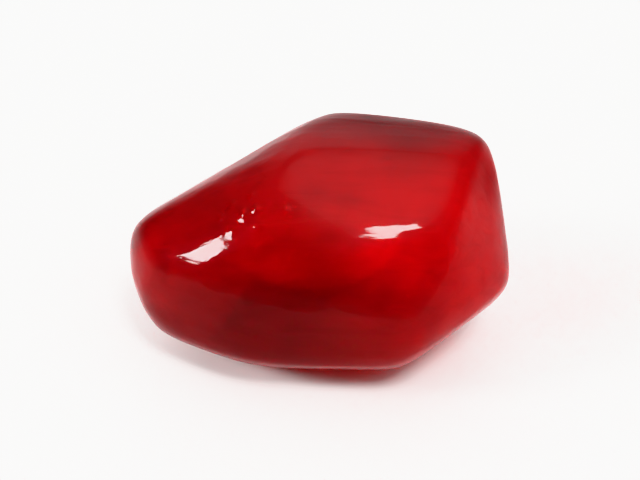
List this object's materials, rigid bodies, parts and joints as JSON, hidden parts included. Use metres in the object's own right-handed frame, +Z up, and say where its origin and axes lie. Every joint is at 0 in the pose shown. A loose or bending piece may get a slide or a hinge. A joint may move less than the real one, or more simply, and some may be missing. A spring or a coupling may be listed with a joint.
{
  "type": "pomegranate aril",
  "caption": "Single fresh pomegranate aril, a juicy translucent red grain with soft facets, lying on one side.",
  "frame": {"origin": "middle of the bounding box's underside, on the surface that the aril lies on", "axes": "+Z up, +X along the aril's length from the narrow attachment end to the blunt crown end, +Y towards its back"},
  "size_m": [0.011, 0.0076, 0.0066],
  "materials": {
    "aril_flesh": "wet gloss over translucent deep red flesh"
  },
  "bodies": {
    "root": {"aril": "aril_flesh"}
  },
  "joints": []
}
